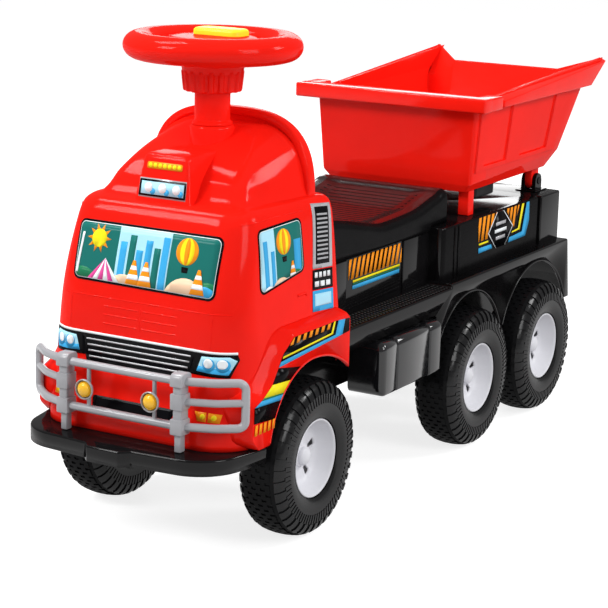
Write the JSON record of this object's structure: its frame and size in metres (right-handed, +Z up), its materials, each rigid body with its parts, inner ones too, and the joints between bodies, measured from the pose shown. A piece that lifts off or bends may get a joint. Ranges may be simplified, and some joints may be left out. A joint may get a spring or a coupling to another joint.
{
  "type": "toy dump truck",
  "caption": "Ride-on toy dump truck with a roof-mounted steering wheel, saddle seat, steered front wheels and a tipping bed.",
  "frame": {"origin": "on the ground under the middle of the truck's box", "axes": "+Y from the bumper towards the bed's tail, +X towards the truck's left, +Z up"},
  "size_m": [0.27, 0.912, 0.4935],
  "materials": {
    "red_plastic": "gloss red moulding",
    "black_plastic": "gloss black moulding",
    "seat_plastic": "satin black moulding",
    "grey_plastic": "satin grey moulding",
    "amber_plastic": "gloss amber",
    "yellow_plastic": "gloss yellow",
    "white_plastic": "satin white moulding",
    "cap_plastic": "satin white moulding",
    "tyre_plastic": "satin black hard plastic",
    "nylon": "plain dark moulding",
    "steel": "bright rod"
  },
  "bodies": {
    "chassis": {"chassis_frame": "black_plastic", "cab_shell": "red_plastic", "rear_body": "black_plastic", "seat": "seat_plastic", "bumper": "black_plastic", "bull_bar": "grey_plastic", "fog_lamp_lens_left": "amber_plastic", "fog_lamp_lens_right": "amber_plastic", "fuel_tank_left": "black_plastic", "fuel_tank_right": "black_plastic", "hinge_bracket_left": "black_plastic", "hinge_bracket_right": "black_plastic", "hinge_pin_left": "steel", "hinge_pin_right": "steel", "column_bush": "nylon", "front_axle_beam": "black_plastic", "kingpin_left": "steel", "kingpin_right": "steel", "middle_axle": "steel", "rear_axle": "steel", "middle_axle_cap_left": "cap_plastic", "middle_axle_cap_right": "cap_plastic", "rear_axle_cap_left": "cap_plastic", "rear_axle_cap_right": "cap_plastic"},
    "steering": {"steering_wheel": "red_plastic", "column_sleeve": "red_plastic", "steering_shaft": "steel", "horn_spring": "steel"},
    "horn": {"horn_button": "yellow_plastic"},
    "tie_rod": {"tie_rod": "nylon"},
    "knuckle_left": {"knuckle_left": "nylon", "stub_axle_left": "steel", "front_axle_cap_left": "cap_plastic"},
    "knuckle_right": {"knuckle_right": "nylon", "stub_axle_right": "steel", "front_axle_cap_right": "cap_plastic"},
    "front_wheel_left": {"front_tyre_left": "tyre_plastic", "front_hub_left": "white_plastic"},
    "front_wheel_right": {"front_tyre_right": "tyre_plastic", "front_hub_right": "white_plastic"},
    "middle_wheel_left": {"middle_tyre_left": "tyre_plastic", "middle_hub_left": "white_plastic"},
    "middle_wheel_right": {"middle_tyre_right": "tyre_plastic", "middle_hub_right": "white_plastic"},
    "rear_wheel_left": {"rear_tyre_left": "tyre_plastic", "rear_hub_left": "white_plastic"},
    "rear_wheel_right": {"rear_tyre_right": "tyre_plastic", "rear_hub_right": "white_plastic"},
    "dump_bed": {"dump_bed": "red_plastic", "bed_stop_left": "nylon", "bed_stop_right": "nylon"}
  },
  "joints": [
    {"name": "steering_turn", "type": "hinge", "parent": "chassis", "child": "steering", "pos_m": [0, -0.2725, 0.4], "axis": [0, 0, 1], "range_deg": [-30, 30]},
    {"name": "horn_press", "type": "slide", "parent": "steering", "child": "horn", "axis": [0, 0, -1], "range_m": [0, 0.0025], "stiffness_N_per_m": 800, "springref_m": -0.001, "deforming": ["horn_spring"]},
    {"name": "tie_rod_slide", "type": "slide", "parent": "chassis", "child": "tie_rod", "axis": [1, 0, 0], "range_m": [-0.0095, 0.0095]},
    {"name": "knuckle_left_turn", "type": "hinge", "parent": "chassis", "child": "knuckle_left", "pos_m": [0.062, -0.2765, 0.08], "axis": [0, 0, 1], "range_deg": [-18.1, 18.1]},
    {"name": "knuckle_right_turn", "type": "hinge", "parent": "chassis", "child": "knuckle_right", "pos_m": [-0.062, -0.2765, 0.08], "axis": [0, 0, 1], "range_deg": [-18.1, 18.1]},
    {"name": "front_wheel_left_roll", "type": "hinge", "parent": "knuckle_left", "child": "front_wheel_left", "pos_m": [0.109, -0.2765, 0.08], "axis": [1, 0, 0], "continuous": true},
    {"name": "front_wheel_right_roll", "type": "hinge", "parent": "knuckle_right", "child": "front_wheel_right", "pos_m": [-0.109, -0.2765, 0.08], "axis": [1, 0, 0], "continuous": true},
    {"name": "middle_wheel_left_roll", "type": "hinge", "parent": "chassis", "child": "middle_wheel_left", "pos_m": [0.109, 0.0935, 0.08], "axis": [1, 0, 0], "continuous": true},
    {"name": "middle_wheel_right_roll", "type": "hinge", "parent": "chassis", "child": "middle_wheel_right", "pos_m": [-0.109, 0.0935, 0.08], "axis": [1, 0, 0], "continuous": true},
    {"name": "rear_wheel_left_roll", "type": "hinge", "parent": "chassis", "child": "rear_wheel_left", "pos_m": [0.109, 0.274, 0.08], "axis": [1, 0, 0], "continuous": true},
    {"name": "rear_wheel_right_roll", "type": "hinge", "parent": "chassis", "child": "rear_wheel_right", "pos_m": [-0.109, 0.274, 0.08], "axis": [1, 0, 0], "continuous": true},
    {"name": "bed_tip", "type": "hinge", "parent": "chassis", "child": "dump_bed", "pos_m": [0, 0.3455, 0.2685], "axis": [-1, 0, 0], "range_deg": [0, 50]}
  ],
  "couplings": [
    {"joint": "tie_rod_slide", "follows": "steering_turn", "m_per_rad": -0.0176},
    {"joint": "knuckle_left_turn", "follows": "steering_turn", "ratio": 0.6},
    {"joint": "knuckle_right_turn", "follows": "steering_turn", "ratio": 0.6}
  ]
}
